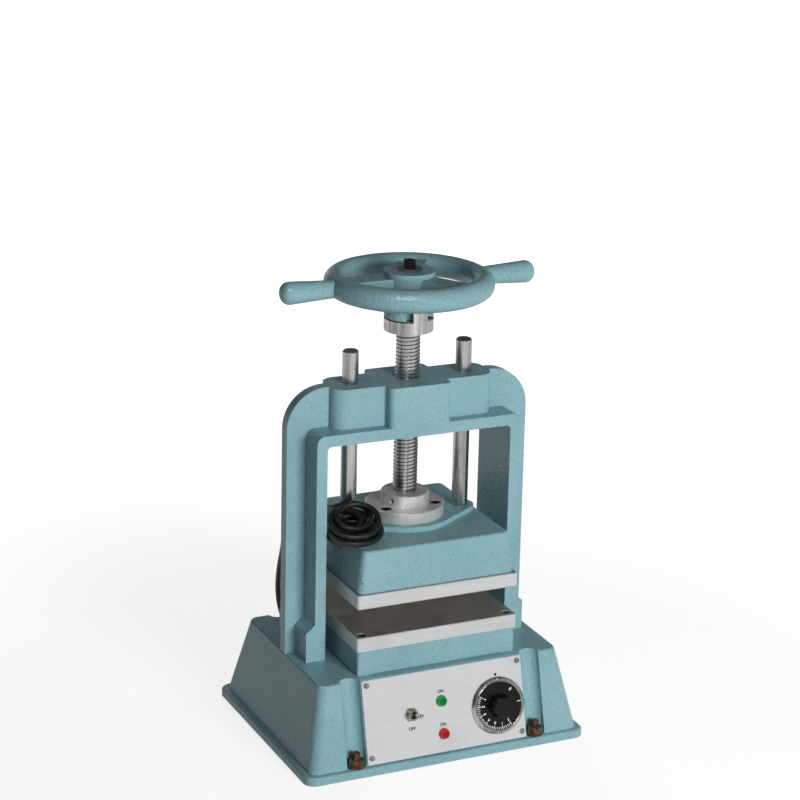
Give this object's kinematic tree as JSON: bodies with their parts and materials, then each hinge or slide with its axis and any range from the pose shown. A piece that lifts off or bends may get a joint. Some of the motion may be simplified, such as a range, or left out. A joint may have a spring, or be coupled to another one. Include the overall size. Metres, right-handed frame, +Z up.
{
  "type": "rubber mold vulcanizer",
  "caption": "Bench vulcanizing press: a handwheel screw closes a heated upper platen on a heated lower one, over a cast base with a slanted control panel.",
  "frame": {"origin": "centre of the base's underside, on the bottom cover's flush face", "axes": "+X to the operator's right, -Y to the front where the panel is, +Z up along the screw"},
  "size_m": [0.356, 0.3415, 0.5669],
  "materials": {
    "teal_paint": "hammered teal enamel on cast iron",
    "aluminium_plate": "machined aluminium",
    "panel_aluminium": "satin anodised",
    "bright_steel": "ground and polished steel",
    "rusty_steel": "rusted and oiled steel",
    "black_steel": "black oxide",
    "cover_sheet": "zinc-plated sheet",
    "bright_chrome": "bright chrome",
    "black_plastic": "moulded black phenolic",
    "green_lens": "green lens",
    "red_lens": "red lens",
    "copper": "drawn copper",
    "bronze": "turned bronze",
    "heater_sheath": "flat heater in a steel sheath",
    "insulation_board": "heat-resisting board",
    "cord_rubber": "black rubber jacket",
    "gland_nickel": "nickel-plated brass"
  },
  "bodies": {
    "root": {"base_casting": "teal_paint", "bottom_cover": "cover_sheet", "bottom_cover_screws": "bright_steel", "hold_down_studs": "rusty_steel", "hold_down_washers": "rusty_steel", "hold_down_nuts": "rusty_steel", "terminal_block": "black_plastic", "terminal_screws": "bright_steel", "front_panel": "panel_aluminium", "panel_screws": "bright_steel", "switch_body": "black_plastic", "switch_nut": "bright_chrome", "power_lamp_lens": "green_lens", "power_lamp_body": "black_plastic", "heat_lamp_lens": "red_lens", "heat_lamp_body": "black_plastic", "thermostat_body": "black_plastic", "thermostat_screws": "bright_steel", "dial_bezel": "bright_chrome", "thermostat_bulb": "copper", "lower_platen_block": "teal_paint", "lower_block_screws": "bright_steel", "lower_heat_plate": "aluminium_plate", "lower_insulation": "insulation_board", "lower_heater": "heater_sheath", "lower_plate_screws": "rusty_steel", "press_frame": "teal_paint", "frame_bolts": "bright_steel", "cord_strain_relief": "cord_rubber", "base_lead_gland": "gland_nickel", "cord_riser": "cord_rubber"},
    "platen": {"upper_heat_plate": "aluminium_plate", "upper_heater": "heater_sheath", "upper_insulation": "insulation_board", "upper_plate_screws": "rusty_steel", "upper_platen_casting": "teal_paint", "guide_rod_left": "bright_steel", "guide_rod_right": "bright_steel", "guide_rod_nuts": "bright_steel", "thrust_pad": "bronze", "screw_retainer_flange": "bright_steel", "retainer_flange_screws": "black_steel", "retainer_set_screws": "bright_steel", "upper_lead_gland": "gland_nickel", "cord_coil": "cord_rubber", "power_plug": "cord_rubber"},
    "screw": {"lead_screw": "bright_steel", "dog_collar": "bright_steel", "collar_pin": "bright_steel", "wheel_washer": "bright_steel", "wheel_retaining_screw": "black_steel"},
    "wheel": {"handwheel": "teal_paint"},
    "switch": {"switch_lever": "bright_chrome"},
    "dial": {"dial_knob": "black_plastic", "dial_shaft": "bright_chrome"}
  },
  "joints": [
    {"name": "platen_slide", "type": "slide", "parent": "root", "child": "platen", "axis": [0, 0, 1], "range_m": [-0.034, 0.075], "deforming": ["cord_riser"]},
    {"name": "screw_spin", "type": "hinge", "parent": "platen", "child": "screw", "pos_m": [0, 0, 0.4], "axis": [0, 0, 1], "range_deg": [-2770, 6100]},
    {"name": "wheel_lost_motion", "type": "hinge", "parent": "screw", "child": "wheel", "pos_m": [0, 0, 0.5], "axis": [0, 0, 1], "range_deg": [-35, 16]},
    {"name": "switch_toggle", "type": "hinge", "parent": "root", "child": "switch", "pos_m": [-0.0434, -0.12899, 0.06062], "axis": [0, 0.252, 0.9677], "range_deg": [-24, 0]},
    {"name": "dial_turn", "type": "hinge", "parent": "root", "child": "dial", "pos_m": [0.0675, -0.12596, 0.05239], "axis": [0, 0.9677, -0.252], "range_deg": [0, 285]}
  ],
  "couplings": [
    {"joint": "screw_spin", "follows": "platen_slide", "rad_per_m": 1415.1}
  ]
}
